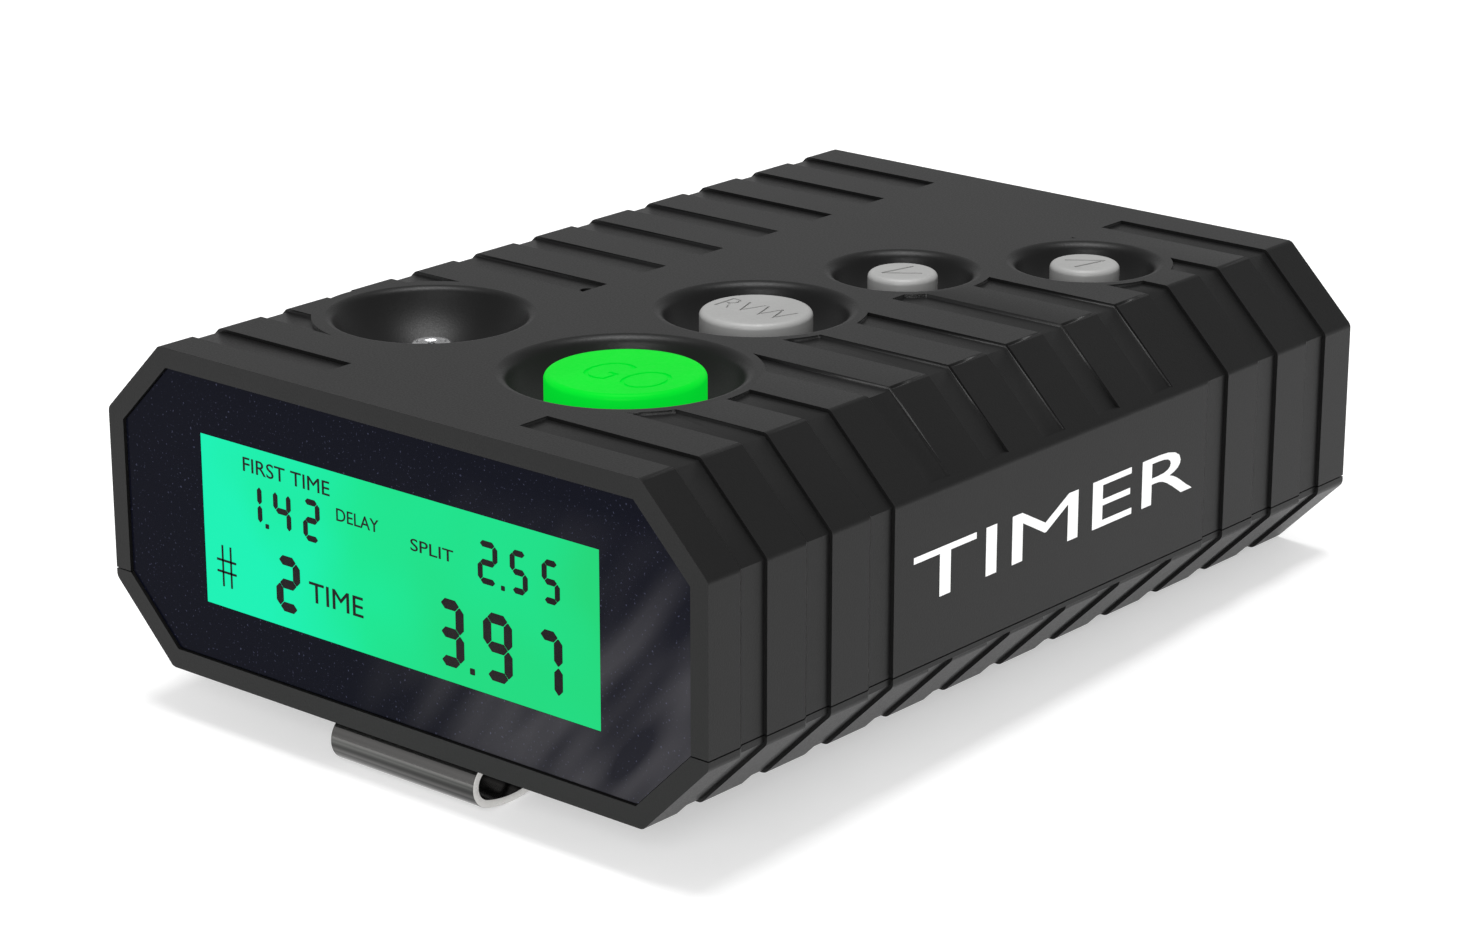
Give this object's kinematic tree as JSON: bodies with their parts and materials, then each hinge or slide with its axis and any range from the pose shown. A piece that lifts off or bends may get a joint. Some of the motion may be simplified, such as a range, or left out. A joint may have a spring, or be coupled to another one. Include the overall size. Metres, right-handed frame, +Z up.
{
  "type": "shot timer",
  "caption": "Eight-sided belt-clip timer box with a display across its front end, push buttons and a sound bowl on top, a rear battery door and a spring clip below.",
  "frame": {"origin": "middle of the whole part's outline, on the plane under the belt clip that the part rests on", "axes": "+Z up through the button face, -Y out through the display, +X to the right of someone facing the display"},
  "size_m": [0.075, 0.1, 0.0369],
  "materials": {
    "casing": "fine-textured moulded black plastic",
    "lens_plate": "glossy dark acrylic with a speckled navy border",
    "go_key": "satin bright green moulded plastic",
    "grey_key": "satin light grey moulded plastic",
    "silicone": "matte silicone rubber",
    "foam": "closed-cell foam and soft rubber",
    "lcd": "backlit green liquid crystal cell",
    "diffuser": "milky light guide",
    "board": "green solder mask",
    "component": "black moulded component",
    "bright_steel": "polished spring steel",
    "screw_steel": "zinc plated screw steel",
    "brass": "turned brass",
    "battery_can": "printed metal can"
  },
  "bodies": {
    "housing": {"upper_shell": "casing", "lower_shell": "casing", "display_lens": "lens_plate", "lens_tape": "foam", "microphone_boot": "foam", "beeper_ring": "foam", "lcd_glass": "lcd", "backlight_panel": "diffuser", "display_board": "board", "main_board": "board", "display_frame": "component", "display_header": "component", "controller_chip": "component", "storage_capacitor": "component", "beeper": "component", "battery_contact_block": "component", "contact_strip_upper": "silicone", "contact_strip_lower": "silicone", "go_dome": "silicone", "review_dome": "silicone", "previous_dome": "silicone", "next_dome": "silicone", "microphone": "bright_steel", "crystal": "bright_steel", "clip_leg": "bright_steel", "battery_contact_positive": "screw_steel", "battery_contact_negative": "screw_steel", "door_hinge_pin": "screw_steel", "battery": "battery_can", "shell_screw_1": "screw_steel", "board_screw_1": "screw_steel", "shell_insert_1": "brass", "shell_screw_2": "screw_steel", "board_screw_2": "screw_steel", "shell_insert_2": "brass", "shell_screw_3": "screw_steel", "board_screw_3": "screw_steel", "shell_insert_3": "brass", "shell_screw_4": "screw_steel", "board_screw_4": "screw_steel", "shell_insert_4": "brass", "clip_screw_1": "screw_steel", "clip_screw_2": "screw_steel"},
    "go_key": {"go_button": "go_key"},
    "review_key": {"review_button": "grey_key"},
    "previous_key": {"previous_button": "grey_key"},
    "next_key": {"next_button": "grey_key"},
    "rear_door": {"battery_door": "casing", "door_pad": "foam"},
    "clip_spring": {"clip_tongue": "bright_steel"}
  },
  "joints": [
    {"name": "go_press", "type": "slide", "parent": "housing", "child": "go_key", "axis": [0, 0, -1], "range_m": [0, 0.0009], "stiffness_N_per_m": 1800, "deforming": ["go_dome"]},
    {"name": "review_press", "type": "slide", "parent": "housing", "child": "review_key", "axis": [0, 0, -1], "range_m": [0, 0.0009], "stiffness_N_per_m": 1500, "deforming": ["review_dome"]},
    {"name": "previous_press", "type": "slide", "parent": "housing", "child": "previous_key", "axis": [0, 0, -1], "range_m": [0, 0.0009], "stiffness_N_per_m": 1200, "deforming": ["previous_dome"]},
    {"name": "next_press", "type": "slide", "parent": "housing", "child": "next_key", "axis": [0, 0, -1], "range_m": [0, 0.0009], "stiffness_N_per_m": 1200, "deforming": ["next_dome"]},
    {"name": "door_hinge", "type": "hinge", "parent": "housing", "child": "rear_door", "pos_m": [0, 0.0487, 0.00623], "axis": [-1, 0, 0], "range_deg": [0, 100]},
    {"name": "clip_flex", "type": "hinge", "parent": "housing", "child": "clip_spring", "pos_m": [0, -0.04283, 0.00051], "axis": [-1, 0, 0], "range_deg": [0, 6], "stiffness_Nm_per_rad": 7}
  ]
}
